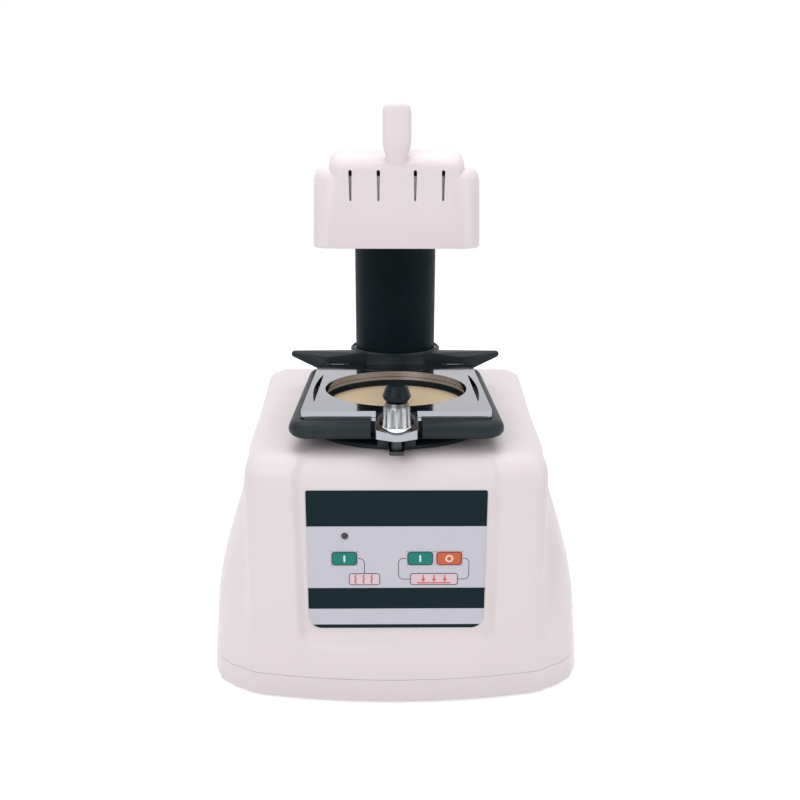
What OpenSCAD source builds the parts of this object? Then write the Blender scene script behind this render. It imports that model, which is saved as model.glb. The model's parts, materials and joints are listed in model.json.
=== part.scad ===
// Dental vacuum former: a heater head on a column, a sheet carriage that slides on the column,
// and a suction base on a moulded housing. Front faces -Y, up is +Z, origin under the middle.

/* [Housing] */
// Full width of the base at the table
base_w = 298; // [280:1:360]
// Distance from the middle to the front of the base
base_front = 155; // [145:1:190]
// Distance from the middle to the rear wall
base_rear = 153; // [140:0.5:190]
// Height of the housing's top face
top_z = 198; // [180:1:240]
// Height of the seam between tray and housing
seam_z = 24; // [18:1:34]
// Wall thickness of the mouldings
wall = 3; // [2:0.5:4]
// Width of the front block at its upper corners
block_w = 220; // [200:1:240]
// Height at which the side hips leave the block
hip_z = 168; // [150:1:175]
// Radius of the rounded edge round the top face
top_r = 20; // [12:1:22]
// Radius of the bow of the front face, seen from above
bow_r = 520; // [400:10:900]

/* [Control panel] */
// Width of the recess for the control label
recess_w = 147; // [140:1:160]
// Height of the recess floor's lower edge
recess_z = 58; // [50:1:70]
// Depth of the recess below the front of the block
recess_depth = 8; // [5:0.5:10]
// Width of the control label
label_w = 132; // [110:1:134]
// Height of the control label
label_h = 111; // [90:1:114]
// Thickness of the control label
label_t = 0.6; // [0.4:0.1:1]
// Width of a key
key_w = 19; // [15:0.5:20]
// Height of a key
key_h = 11; // [8:0.5:12]
// Travel of a key
key_travel = 0.5; // [0.3:0.1:0.8]

/* [Forming frame] */
// Width of the chrome sheet frame
frame_w = 140; // [135:1:146]
// Diameter of the opening in the frame
hole_d = 114; // [106:1:118]
// Distance from the opening's centre to the frame's front edge
frame_front = 70; // [68:1:74]
// Distance from the opening's centre to the frame's rear edge
frame_rear = 84; // [80:1:86]
// Thickness of the upper frame
upper_t = 4.7; // [4:0.1:6]
// Thickness of the lower frame
lower_t = 2.6; // [2:0.1:3]
// Thickness of the carriage tray
tray_t = 13; // [12:0.5:15]
// Width of the carriage tray
tray_w = 158; // [156:1:166]
// Height of the tray above the housing's top face
tray_gap = 10; // [10:0.5:14]

/* [Column] */
// Distance from the opening's centre to the column's axis
reach = 130; // [128:1:136]
// Outer diameter of the column tube
column_d = 75; // [68:1:76]
// Wall of the column tube
column_wall = 3; // [2:0.5:4]
// Height from the housing's top face to the column's top
column_h = 144; // [136:1:170]

/* [Suction base] */
// Diameter of the suction base's flange
flange_d = 145; // [138:1:150]
// Diameter of the forming plate
plate_d = 112; // [104:1:113]
// Thickness of the forming plate
plate_t = 3.4; // [3:0.2:5]
// Pitch of the air holes in the forming plate
vent_pitch = 12; // [10:1:16]

/* [Heater head] */
// Width of the heater cover
head_w = 116; // [110:1:130]
// Height of the cover's front face
head_h = 52; // [46:1:60]
// Height of the raised block above the front face
block_h = 15; // [10:1:20]
// Height of the handle above the raised block
handle_h = 28; // [20:1:40]
// Width of the handle
handle_w = 19.5; // [17:0.5:24]
// Diameter of the heater's opening
heater_d = 98; // [90:1:102]

/* [Fits] */
// Running gap between sliding or turning faces
run = 0.3; // [0.2:0.05:0.4]
// Radial clearance of a pin in its bore
pin_gap = 0.05; // [0.02:0.01:0.1]

/* [Hidden] */
$fn = 64;

// Places along the depth
hole_y = -54.5;
column_y = hole_y + reach;
front_y = -base_front;
rear_y = base_rear;
foot_h = 3;
column_r = column_d / 2;
column_top = top_z + column_h;

// Heights of the stack over the suction base
tray_z = top_z + tray_gap;
tray_top = tray_z + tray_t;
lower_z = tray_top - lower_t + 1;
upper_z = lower_z + lower_t + run;
frame_top = upper_z + upper_t;
plate_z = top_z + 13;
hole_r = hole_d / 2;
tray_hole_r = hole_r + 3.2;
frame_front_y = hole_y - frame_front;
frame_rear_y = hole_y + frame_rear;
tray_front_y = frame_front_y - 12.5;
tray_rear_y = frame_rear_y + 18;

// Small maths used by the lofted shells
function mix(a, b, t) = a + (b - a) * t;
function clamp01(t) = max(0, min(1, t));
function ease(a, b, x) = let (t = clamp01((x - a) / (b - a))) t * t * (3 - 2 * t);
function smin(a, b, k) = min(a, b) - pow(max(k - abs(a - b), 0), 2) / (4 * k);
function smax(a, b, k) = -smin(-a, -b, k);

// Stacks rings of points, lowest first, into one closed skin
function ring_walls(first, n, m, out = true) = [
    for (j = [0 : m - 2], i = [0 : n - 1])
        let (a = first + j * n + i, b = first + j * n + (i + 1) % n)
            each (out ? [[a, b + n, b], [a, a + n, b + n]] : [[a, b, b + n], [a, b + n, a + n]])
];
function ring_cap(first, n, up = true) = [for (i = [0 : n - 1]) first + (up ? n - 1 - i : i)];
module skin(rings) {
    n = len(rings[0]);
    m = len(rings);
    polyhedron(
        points = [for (ring = rings) each ring],
        faces = concat(ring_walls(0, n, m), [ring_cap(0, n, false), ring_cap((m - 1) * n, n)])
    );
}
// The same with a cavity that is open below: both stacks have rings of the same length
module hollow_skin(outer, inner) {
    n = len(outer[0]);
    m = len(outer);
    k = len(inner);
    first = m * n;
    rim = [
        for (i = [0 : n - 1])
            let (j = (i + 1) % n)
                each [[i, j, first + j], [i, first + j, first + i]]
    ];
    polyhedron(
        points = [for (ring = concat(outer, inner)) each ring],
        faces = concat(
            ring_walls(0, n, m), [ring_cap((m - 1) * n, n)],
            ring_walls(first, n, k, false), [ring_cap(first + (k - 1) * n, n, false)], rim
        )
    );
}

// The same with the cavity open above: the inner stack runs down from the rim
module cup_skin(outer, inner) {
    top = max([for (ring = outer) ring[0][2]]);
    translate([0, 0, top]) mirror([0, 0, 1]) hollow_skin(
        [for (i = [len(outer) - 1 : -1 : 0]) [for (p = outer[i]) [p[0], p[1], top - p[2]]]],
        [for (ring = inner) [for (p = ring) [p[0], p[1], top - p[2]]]]
    );
}

// A rounded rectangle between y0 and y1, counter-clockwise, with a bowed front edge
function rounded_ring(hw, y0, y1, r, z, bow = 0, n = 5) = [
    for (q = [0 : 3], i = [0 : n])
        let (
            a = 180 + q * 90 + i * 90 / n,
            x = (q == 1 || q == 2 ? hw - r : r - hw) + r * cos(a),
            y = (q < 2 ? y0 + r : y1 - r) + r * sin(a),
            lean = y < (y0 + y1) / 2 ? bow * pow(x / hw, 2) : 0
        )
            [x, y + lean, z]
];

// Housing outline

// Half width of the hips at a height
function hip_half(z) =
    let (full = base_w / 2, low = full - 5 * ease(0, hip_z * 0.45, z))
        low - (z > hip_z * 0.45 ? 26 * pow((z - hip_z * 0.45) / (hip_z * 0.55), 1.25) : 0);
// Half width of the front block at a height
function block_half(z) = block_w / 2 + 6 * (1 - clamp01(z / top_z));
// Front of the block at the middle
function block_front(z) = front_y + 1.5 * ease(seam_z, top_z, z) + 1.2 * (1 - ease(foot_h, seam_z, z));
recess_y = front_y + recess_depth + 3;
recess_half = recess_w / 2;
recess_corner = 12;
// Half width of the recess, drawn in at its lower corners
function recess_half_at(z) =
    let (d = clamp01((recess_z - 8 + recess_corner - z) / recess_corner))
        recess_half - 2 * (1 - clamp01((z - recess_z) / (top_z - recess_z)))
            - recess_corner * (1 - sqrt(1 - d * d * 0.96));
recess_side = 8;
recess_slope = 10;
function recess_mask(x, z) =
    (1 - ease(recess_half_at(z) - recess_side / 2, recess_half_at(z) + recess_side / 2, abs(x)))
    * ease(recess_z - recess_slope, recess_z, z);

// Distance from the middle to a straight wall, along a direction measured from the front
function bow(x) = min(x * x / (2 * bow_r), base_w / 12);
function front_reach(t, y) =
    let (r0 = -y / cos(t), r1 = (-y - bow(r0 * sin(t))) / cos(t))
        (-y - bow(r1 * sin(t))) / cos(t);
far = 1000;
side_flare = 0.077;
function block_reach(t, z) =
    let (
        yf = block_front(z),
        to_front = t < 80 ? front_reach(t, yf) : far,
        to_side = t > 5 && t < 175
            ? (block_half(z) - side_flare * yf) / (sin(t) + side_flare * cos(t))
            : far,
        to_rear = t > 100 ? -rear_y / cos(t) : far
    )
        smin(smin(to_front, to_side, 14), to_rear, 26);
hip_front = 16;
function hip_reach(t, z) =
    let (
        drop = ease(seam_z, hip_z, z),
        yf = front_y + 5 + hip_front * 2.2 * drop,
        to_front = t < 80 ? front_reach(t, yf) : far,
        to_side = t > 5 && t < 175 ? hip_half(z) / sin(t) : far,
        to_rear = t > 100 ? -(rear_y - 6) / cos(t) : far
    )
        smin(smin(to_front, to_side, 46), to_rear, 40);
function shell_reach(t, z) =
    min(smax(block_reach(t, z), hip_reach(t, z), 11), t > 100 ? -rear_y / cos(t) : far);

// Directions of the outline's points over half a turn, close together where it bends
recess_t = [0, 0.55, 0.9];
function edge_t(z) = atan(recess_half_at(z) / (-front_y - bow(recess_half)));
half_t = concat(
    [for (i = [0 : 8]) i * 2.7 + 2.7],
    [for (i = [1 : 4]) i * 5 + 24.3],
    [for (i = [1 : 3]) i * 18 + 44],
    [for (i = [1 : 6]) i * 6 + 98],
    [142, 160]
);
function directions(z) =
    let (e = edge_t(z), half = concat(
        [for (k = recess_t) k * (e - 1.9)],
        [for (k = [-1.65 : 0.55 : 1.65]) e + k],
        [for (k = half_t) e + k * (180 - e) / 180]
    ))
        concat([for (i = [len(half) - 1 : -1 : 1]) -half[i]], half, [180]);
function shell_point(t, z, inset, recessed) =
    let (
        r = shell_reach(abs(t), z),
        x = r * sin(t),
        y = -r * cos(t),
        push = recessed && abs(t) < 60 && y < recess_y ? (recess_y - y) * recess_mask(x, z) : 0,
        s = sqrt(x * x + (y + push) * (y + push)),
        k = (s - inset) / s
    )
        [x * k, (y + push) * k, z];
function shell_ring(z, z_shape, inset, recessed = true) =
    [for (t = directions(z_shape)) let (p = shell_point(t, z_shape, inset, recessed)) [p[0], p[1], z]];

seam_step = 0.9;
edge_step = 18;
wall_levels = concat(
    [for (i = [0 : 6]) recess_z - recess_slope + i * recess_slope / 6],
    [for (i = [1 : 7]) mix(recess_z, top_z - top_r, i / 7)]
);

// The cavity keeps one wall's thickness behind the recess and inside the rear wall
function cavity_ring(z, z_shape, inset) = [
    for (t = directions(z_shape))
        let (
            r = shell_reach(abs(t), z_shape) - wall * 1.4 - inset,
            y = max(-r * cos(t), recess_y + wall + inset * 0.6)
        )
            [r * sin(t), min(y, rear_y - wall), z]
];
function shell_levels() = concat(
    [shell_ring(seam_z, seam_z, seam_step), shell_ring(seam_z + 0.3, seam_z, 0)],
    [for (z = wall_levels) shell_ring(z, z, 0)],
    [for (a = [edge_step : edge_step : 90])
        shell_ring(top_z - top_r + top_r * sin(a), top_z - top_r, top_r * (1 - cos(a)))]
);
function cavity_levels() = concat(
    [for (k = [0, 0.4, 0.7, 1]) let (z = mix(seam_z, top_z - top_r, k)) cavity_ring(z, z, 0)],
    [for (a = [45, 90])
        cavity_ring(top_z - top_r + (top_r - wall) * sin(a), top_z - top_r, (top_r - wall) * (1 - cos(a)))]
);

// Rear fittings
inlet_x = -52;
switch_x = -8;
fitting_z = 62;
inlet_w = 48;
inlet_h = 28;
inlet_hole_w = 28;
inlet_hole_h = 21;
switch_w = 24;
switch_h = 33;
switch_hole_w = 19;
switch_hole_h = 28;
fitting_t = 2;
vent_count = 9;
vent_w = 3;
vent_h = 34;
vent_gap = 8;

key_z = recess_z + 61.5;
heat_key_x = -38.5;
vacuum_key_x = 17.5;
key_space = 2.5;
off_key_x = vacuum_key_x + key_w + key_space;
led_x = -38;
led_z = key_z + 18;
led_r = 2.4;
label_z = recess_z + 4;
key_window = 0.6;

boss_x = 126;
boss_spots = [for (x = [-boss_x, boss_x], y = [-88, 104]) [x, y]];
boss_r = 7;
boss_rib = base_w / 2 - boss_x - 6;
screw_r = 2;
foot_spots = [for (x = [-104, 104], y = [-112, 118]) [x, y]];
foot_r = 10;

module rear_cutouts() {
    translate([inlet_x - inlet_hole_w / 2, rear_y - wall - 6, fitting_z - inlet_hole_h / 2])
        cube([inlet_hole_w, wall + 10, inlet_hole_h]);
    translate([switch_x - switch_hole_w / 2, rear_y - wall - 6, fitting_z - switch_hole_h / 2])
        cube([switch_hole_w, wall + 10, switch_hole_h]);
    for (i = [0 : vent_count - 1])
        translate([28 + i * vent_gap, rear_y - wall - 6, fitting_z - vent_h / 2])
            cube([vent_w, wall + 10, vent_h]);
}

module key_windows() {
    for (x = [heat_key_x, vacuum_key_x, off_key_x])
        translate([x - key_w / 2 - key_window / 2, recess_y - 5, key_z - key_h / 2 - key_window / 2])
            cube([key_w + key_window, wall + 10, key_h + key_window]);
    translate([led_x, recess_y + wall + 5, led_z]) rotate([90, 0, 0])
        cylinder(r = led_r + 0.1, h = wall + 10, $fn = 24);
}

module housing_shell() color([0.93, 0.91, 0.91]) resize([0, 0, top_z - seam_z])
    difference() {
        union() {
            hollow_skin(shell_levels(), cavity_levels());
            for (p = boss_spots) {
                translate([p[0], p[1], seam_z + 2]) cylinder(r = boss_r, h = boss_top - seam_z - 2, $fn = 24);
                translate([p[0] + (p[0] > 0 ? 0 : -boss_rib), p[1] - wall / 2, seam_z + 2])
                    cube([boss_rib, wall, boss_top - seam_z - 2]);
            }
        }
        translate([0, column_y, top_z - top_r]) cylinder(r = column_r + run, h = top_r + 1);
        translate([0, hole_y, top_z - top_r]) cylinder(r = duct_r + run, h = top_r + 1);
        rear_cutouts();
        key_windows();
        for (p = boss_spots) translate([p[0], p[1], seam_z]) cylinder(r = screw_r + pin_gap, h = 23, $fn = 24);
    }
boss_top = seam_z + 46;

// Base tray with its feet and screws
function tray_levels() = [
    shell_ring(foot_h, foot_h, 3.5, false),
    shell_ring(foot_h + 1, foot_h, 1.2, false),
    shell_ring(foot_h + 3, foot_h, 0, false),
    shell_ring(seam_z - 0.3, seam_z, 0, false),
    shell_ring(seam_z, seam_z, seam_step, false)
];
tray_floor = foot_h + wall;
socket_h = 16;
tray_lip = 2;
socket_wall = 4;
module bottom_tray() color([0.93, 0.91, 0.91]) resize([0, 0, seam_z + tray_lip - foot_h])
    difference() {
        union() {
            cup_skin(tray_levels(), [cavity_ring(seam_z, seam_z, 0), cavity_ring(tray_floor, foot_h, 2)]);
            translate([0, column_y, foot_h + 1])
                cylinder(r = column_r + run + socket_wall, h = wall - 1 + socket_h);
            for (p = boss_spots) translate([p[0], p[1], foot_h + 1])
                cylinder(r = boss_r, h = seam_z + tray_lip - foot_h - 1, $fn = 24);
        }
        translate([0, column_y, tray_floor]) cylinder(r = column_r + pin_gap, h = socket_h + 2);
        for (p = boss_spots) translate([p[0], p[1], foot_h - 1])
            cylinder(r = screw_r + 0.2, h = seam_z + 4, $fn = 24);
    }

module rubber_feet() color([0.12, 0.12, 0.12])
    for (p = foot_spots)
        translate([p[0], p[1], 0]) rotate_extrude()
            polygon([[0, 0], [foot_r - 0.8, 0], [foot_r, 0.8], [foot_r, foot_h], [0, foot_h]]);

module base_screws() color([0.6, 0.6, 0.62])
    for (p = boss_spots)
        translate([p[0], p[1], 0]) {
            translate([0, 0, foot_h - 2]) cylinder(r = 3.6, h = 2);
            translate([0, 0, foot_h - 1]) cylinder(r = screw_r, h = seam_z + 14);
        }

// Control panel
module control_label() color([0.78, 0.78, 0.81])
    difference() {
        translate([0, recess_y, label_z]) rotate([90, 0, 0]) linear_extrude(label_t) difference() {
            hull() {
                for (s = [-1, 1]) {
                    translate([s * (label_w / 2 - 1.5), label_h - 1.5]) circle(r = 1.5);
                    translate([s * (label_w / 2 - 10), 10]) circle(r = 10);
                }
            }
            for (x = [heat_key_x, vacuum_key_x, off_key_x])
                translate([x - key_w / 2 - key_window / 2, key_z - label_z - key_h / 2 - key_window / 2])
                    square([key_w + key_window, key_h + key_window]);
            translate([led_x, led_z - label_z]) circle(r = led_r + 0.1);
        }
    }

key_front = recess_y - label_t - 0.5;
key_back = recess_y + wall + 0.4;
module key_at(x) {
    translate([x, key_back, key_z]) rotate([90, 0, 0]) linear_extrude(key_back - key_front) hull()
        for (s = [-1, 1], u = [-1, 1])
            translate([s * (key_w / 2 - 1.5), u * (key_h / 2 - 1.5)]) circle(r = 1.5);
    translate([x, key_back + 1.2, key_z]) rotate([90, 0, 0]) cylinder(r = 3, h = 1.3);
}
module heat_on_key() color([0.06, 0.5, 0.42]) key_at(heat_key_x);
module vacuum_on_key() color([0.06, 0.5, 0.42]) key_at(vacuum_key_x);
module vacuum_off_key() color([0.85, 0.38, 0.22]) key_at(off_key_x);

module indicator_led() color([0.35, 0.05, 0.08])
    translate([led_x, recess_y - label_t, led_z]) rotate([-90, 0, 0]) {
        cylinder(r = led_r, h = board_y - recess_y + label_t);
        sphere(r = led_r);
    }

board_y = key_back + 1.2 + key_travel + 0.4;
board_t = 1.6;
module control_board() color([0.1, 0.4, 0.2])
    translate([0, board_y, label_z]) difference() {
        union() {
            translate([-56, 0, 10]) cube([112, board_t, 88]);
            translate([-40, board_t, 20]) cube([26, 8, 18]);
            translate([0, board_t, 22]) cube([30, 5, 22]);
            for (x = [-50, 50], z = [16, 92])
                translate([x, 0, z]) rotate([90, 0, 0]) cylinder(r = 3, h = board_y - recess_y - wall);
        }
        for (x = [-50, 50], z = [16, 92])
            translate([x, board_t + 1, z]) rotate([90, 0, 0]) cylinder(r = 1.2, h = 30);
    }

module power_board() color([0.1, 0.4, 0.2]) translate([52, -14, tray_floor]) {
    for (x = [4, 46], y = [4, 76]) translate([x, y, 0]) cylinder(r = 3, h = 8);
    translate([0, 0, 8]) cube([50, 80, board_t]);
    for (y = [8, 30]) translate([6, y, 8 + board_t]) cube([18, 16, 16]);
    for (y = [12, 34, 56]) translate([38, y, 8 + board_t]) cylinder(r = 6, h = 22);
}

module transformer() color([0.3, 0.3, 0.32]) translate([-104, -10, tray_floor]) {
    cube([50, 60, 4]);
    translate([5, 8, 4]) cube([40, 44, 34]);
    translate([9, 1, 8]) cube([32, 58, 26]);
}

// Suction line, from the motor in the housing up to the forming plate
motor_r = 46;
motor_z = seam_z + 10;
motor_h = 68;
fan_r = 60;
fan_h = 36;
fan_z = motor_z + motor_h;
duct_r = 21;
duct_wall = 2.5;
gasket_h = 4;
bracket_t = 3;
module vacuum_motor() color([0.55, 0.56, 0.58]) translate([0, hole_y, 0]) difference() {
    union() {
        translate([0, 0, motor_z]) cylinder(r = motor_r, h = motor_h);
        translate([0, 0, motor_z - 14]) cylinder(r = 16, h = 14);
    }
    for (a = [0 : 45 : 315])
        rotate(a) translate([motor_r - 3, -4, motor_z + 20]) cube([6, 8, 30]);
}
module fan_housing() color([0.75, 0.75, 0.76]) translate([0, hole_y, fan_z]) rotate_extrude()
    polygon([
        [duct_r - duct_wall, fan_h], [duct_r - duct_wall, fan_h - 2], [fan_r - 2, fan_h - 2], [fan_r - 2, 2],
        [0, 2], [0, 0], [fan_r, 0], [fan_r, fan_h]
    ]);
module motor_bracket() color([0.62, 0.62, 0.64]) translate([0, hole_y, 0]) {
    translate([0, 0, fan_z - bracket_t]) difference() {
        cylinder(r = fan_r + 8, h = bracket_t);
        translate([0, 0, -1]) cylinder(r = motor_r + pin_gap, h = bracket_t + 2);
    }
    for (a = [30 : 120 : 270])
        rotate(a) translate([fan_r + 2, 0, tray_floor]) cylinder(r = 4, h = fan_z - bracket_t - tray_floor);
}
duct_z = fan_z + fan_h + gasket_h;
module duct_gasket() color([0.12, 0.12, 0.12]) translate([0, hole_y, fan_z + fan_h]) difference() {
    cylinder(r = duct_r + 3, h = gasket_h);
    translate([0, 0, -1]) cylinder(r = duct_r - duct_wall, h = gasket_h + 2);
}
module suction_duct() color([0.2, 0.2, 0.21]) translate([0, hole_y, duct_z]) difference() {
    cylinder(r = duct_r, h = top_z - duct_z);
    translate([0, 0, -1]) cylinder(r = duct_r - duct_wall, h = top_z - duct_z + 2);
}
platform_r = plate_d / 2 + 2.6;
module suction_base() color([0.08, 0.08, 0.09]) translate([0, hole_y, top_z]) rotate_extrude()
    polygon([
        [duct_r - duct_wall, 0], [flange_d / 2, 0], [flange_d / 2, 2.5], [flange_d / 2 - 1.5, 4],
        [platform_r, 6], [platform_r, 13], [plate_d / 2 - 4, 13], [plate_d / 2 - 6, 8], [duct_r - duct_wall, 5]
    ]);
module seal_ring() color([0.07, 0.07, 0.07]) translate([0, hole_y, plate_z]) rotate_extrude()
    translate([plate_d / 2 + 1.4, 0]) {
        translate([-1.1, 0]) square([2.2, 3.2]);
        translate([0, 3.2]) circle(r = 1.1);
    }
module forming_plate() color([0.87, 0.76, 0.62]) translate([0, hole_y, plate_z]) difference() {
    cylinder(r = plate_d / 2, h = plate_t);
    for (ring = [1 : 3])
        for (i = [0 : ring * 6 - 1])
            rotate(i * 60 / ring) translate([ring * vent_pitch, 0, -1]) cylinder(r = 0.8, h = plate_t + 2);
    translate([0, 0, -1]) cylinder(r = 0.8, h = plate_t + 2);
}

// Column
plug_h = 40;
spindle_r = 12;
washer_t = 1;
module column_tube() color([0.09, 0.09, 0.1]) translate([0, column_y, tray_floor]) difference() {
    cylinder(r = column_r, h = column_top - tray_floor);
    translate([0, 0, -1]) cylinder(r = column_r - column_wall, h = column_top - tray_floor + 2);
}
module column_plug() color([0.16, 0.16, 0.17]) translate([0, column_y, column_top - plug_h]) difference() {
    cylinder(r = column_r - column_wall - pin_gap, h = plug_h);
    translate([0, 0, -1]) cylinder(r = spindle_r + pin_gap, h = plug_h + 2);
    translate([column_r - column_wall - 11, 0, -1]) cylinder(r = 4, h = plug_h + 2);
}
module thrust_washer() color([0.85, 0.84, 0.8]) translate([0, column_y, column_top]) difference() {
    cylinder(r = column_r - 8, h = washer_t);
    translate([0, 0, -1]) cylinder(r = spindle_r + run, h = washer_t + 2);
    translate([column_r - column_wall - 11, 0, -1]) cylinder(r = 4, h = washer_t + 2);
}
module stop_ring() color([0.1, 0.1, 0.11]) translate([0, column_y, top_z]) rotate_extrude()
    polygon([
        [column_r + pin_gap, 0], [column_r + 8, 0], [column_r + 8, 3], [column_r + 5, tray_gap],
        [column_r + pin_gap, tray_gap]
    ]);

// Rear fittings
module fitting_plate(w, h) {
    rotate([-90, 0, 0]) linear_extrude(fitting_t) hull()
        for (s = [-1, 1], u = [-1, 1]) translate([s * (w / 2 - 3), u * (h / 2 - 3)]) circle(r = 3);
}
module power_inlet() color([0.07, 0.07, 0.07]) translate([inlet_x, rear_y, fitting_z]) difference() {
    union() {
        fitting_plate(inlet_w, inlet_h);
        translate([-inlet_hole_w / 2 + 0.2, -22, -inlet_hole_h / 2 + 0.2])
            cube([inlet_hole_w - 0.4, 22, inlet_hole_h - 0.4]);
    }
    translate([-12, -16, -8.2]) cube([24, 20, 16.4]);
    for (s = [-1, 1]) translate([s * 20, -1, 0]) rotate([-90, 0, 0]) cylinder(r = 1.7, h = 6);
}
module switch_frame() color([0.07, 0.07, 0.07]) translate([switch_x, rear_y, fitting_z]) difference() {
    union() {
        fitting_plate(switch_w, switch_h);
        translate([-switch_hole_w / 2 + 0.2, -20, -switch_hole_h / 2 + 0.2])
            cube([switch_hole_w - 0.4, 20, switch_hole_h - 0.4]);
    }
    translate([-7.5, -14, -12]) cube([15, 20, 24]);
}
rocker_half = 10.5;
rocker_w = 14.4;
rocker_depth = 7;
rocker_pivot = 2;
rocker_tilt = 8;
module power_rocker() color([0.1, 0.1, 0.1])
    translate([switch_x - rocker_w / 2, rear_y - rocker_pivot, fitting_z]) rotate([rocker_tilt, 0, 0])
        rotate([90, 0, 90]) linear_extrude(rocker_w) polygon([
            [-rocker_depth, -rocker_half], [2.5, -rocker_half], [0.8, 0], [2.5, rocker_half],
            [-rocker_depth, rocker_half]
        ]);

// Carriage: tray, collar and wings in one casting
collar_r = column_r + 5;
collar_h = 28;
bush_wall = 2;
edge_r = tray_t / 2;
hinge_y = frame_rear_y + 4.5;
hinge_z = upper_z + 1.6;
hinge_r = 3.2;
hinge_pin_r = 1.5;
knuckle_x = 53;
knuckle_w = 12;
ear_w = 4;
wing_span = 97;
wing_y = tray_rear_y - 4;
notch_half = 18.6;
clamp_y = frame_front_y - 15;
ear_drop = 4.4;
ear_depth = 9.5;
module tray_slab() {
    skin([
        for (a = [-90 : 22.5 : 90])
            rounded_ring(
                tray_w / 2 - edge_r * (1 - cos(a)), tray_front_y + edge_r * (1 - cos(a)),
                tray_rear_y - edge_r * (1 - cos(a)), 13 - edge_r * (1 - cos(a)) * 0.6,
                tray_z + edge_r + edge_r * sin(a), 0, 6
            )
    ]);
}
module wing(s) {
    hull() {
        translate([s * 30, wing_y + 6, tray_z + 4]) cylinder(r = 8, h = collar_h - 5, $fn = 24);
        translate([s * 62, wing_y, tray_z + 10]) cylinder(r = 5, h = collar_h - 14, $fn = 24);
        translate([s * (tray_w / 2 - 9), wing_y + 2, tray_z + 14]) cylinder(r = 5, h = collar_h - 18, $fn = 24);
        translate([s * (wing_span - 3.4), wing_y + 6, tray_z + collar_h - 3.2]) sphere(r = 3.2, $fn = 20);
    }
}
module carriage_frame() color([0.13, 0.14, 0.15]) {
    difference() {
        union() {
            tray_slab();
            translate([0, column_y, tray_z]) rotate_extrude()
                polygon([
                    [column_r, 0], [collar_r + 3, 0], [collar_r + 3, tray_t], [collar_r, tray_t + 6],
                    [collar_r, collar_h - 1.5], [collar_r - 1.5, collar_h], [column_r, collar_h]
                ]);
            wing(1);
            wing(-1);
            for (s = [-1, 1], u = [-1, 1])
                translate([s * knuckle_x + u * (knuckle_w / 2 + run + ear_w / 2) - ear_w / 2, hinge_y, tray_z + 4])
                    hinge_ear();
            clamp_ears();
        }
        translate([0, column_y, tray_z - 5]) cylinder(r = column_r + bush_wall + run, h = collar_h + 10);
        translate([0, hole_y, tray_z - 5]) cylinder(r = tray_hole_r, h = tray_t + 10);
        translate([-frame_w / 2 - run, frame_front_y - run, lower_z - pin_gap])
            cube([frame_w + 2 * run, frame_front + frame_rear + 2 * run, tray_t]);
        translate([-notch_half, tray_front_y - 5, tray_z + 1])
            cube([2 * notch_half, frame_front_y - tray_front_y + 5, tray_t + 5]);
        translate([-foot_slot / 2, tray_front_y - 5, tray_z - ear_drop - 1])
            cube([foot_slot, hole_y - tray_front_y, tray_t + ear_drop]);
        for (s = [-1, 1])
            translate([s * knuckle_x - knuckle_w / 2 - run, frame_rear_y - 1, hinge_z - hinge_r - 0.6])
                cube([knuckle_w + 2 * run, hinge_y - frame_rear_y + 1 + hinge_r + run, 40]);
        for (s = [-1, 1])
            translate([s * knuckle_x - hinge_pin_l / 2, hinge_y, hinge_z]) rotate([0, 90, 0])
                cylinder(r = hinge_pin_r + pin_gap, h = hinge_pin_l);
        for (p = frame_screw_spots)
            translate([p[0], p[1], lower_z - 7]) cylinder(r = screw_r - 0.3 + pin_gap, h = 10);
    }
}
foot_slot = 11.6;
foot_half = 7.5;
hinge_pin_l = knuckle_w + 2 * (run + ear_w);
module hinge_ear() {
    rotate([0, 90, 0]) linear_extrude(ear_w) hull() {
        translate([-(hinge_z - tray_z - 4), 0]) circle(r = hinge_r);
        translate([-2, -hinge_r]) square([2, 2 * hinge_r]);
    }
}
module clamp_ears() {
    for (s = [-1, 1])
        translate([s * 9.8, tray_front_y + 1.5 + ear_depth, tray_z])
            rotate([90, 0, 0]) linear_extrude(ear_depth) polygon([[-4, 2], [-4, 1 - ear_drop], [-3, -ear_drop], [3, -ear_drop], [4, 1 - ear_drop], [4, 2]]);
}
frame_screw_spots = [for (s = [-1, 1], y = [frame_front_y + 8, frame_rear_y - 12]) [s * (frame_w / 2 - 7), y]];

module collar_bush() color([0.8, 0.79, 0.74]) translate([0, column_y, tray_z]) difference() {
    cylinder(r = column_r + bush_wall + run, h = collar_h - 2);
    translate([0, 0, -1]) cylinder(r = column_r + run, h = collar_h);
}
module plate_outline(r = 4) {
    hull()
        for (s = [-1, 1], y = [frame_front_y + r, frame_rear_y - r])
            translate([s * (frame_w / 2 - r), y]) circle(r = r);
}
module lower_frame() color([0.72, 0.73, 0.75]) difference() {
    translate([0, 0, lower_z]) linear_extrude(lower_t) plate_outline();
    translate([0, hole_y, lower_z - 1]) cylinder(r = hole_r, h = lower_t + 2);
    for (s = [-1, 1]) lens_slot(s, lower_z - 1, lower_t + 2);
    for (p = frame_screw_spots) translate([p[0], p[1], lower_z - 1]) cylinder(r = screw_r - 0.1, h = lower_t + 2);
    for (s = [-1, 1])
        translate([s * knuckle_x - knuckle_w / 2 - run, frame_rear_y - 2.5, lower_z - 1])
            cube([knuckle_w + 2 * run, 10, lower_t + 2]);
}
module frame_screws() color([0.6, 0.6, 0.62])
    for (p = frame_screw_spots)
        translate([p[0], p[1], lower_z - 6]) cylinder(r = screw_r - 0.3, h = 6 + lower_t - 0.4);
module hinge_pins() color([0.7, 0.7, 0.72])
    for (s = [-1, 1])
        translate([s * knuckle_x - hinge_pin_l / 2, hinge_y, hinge_z]) rotate([0, 90, 0])
            cylinder(r = hinge_pin_r, h = hinge_pin_l);

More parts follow.
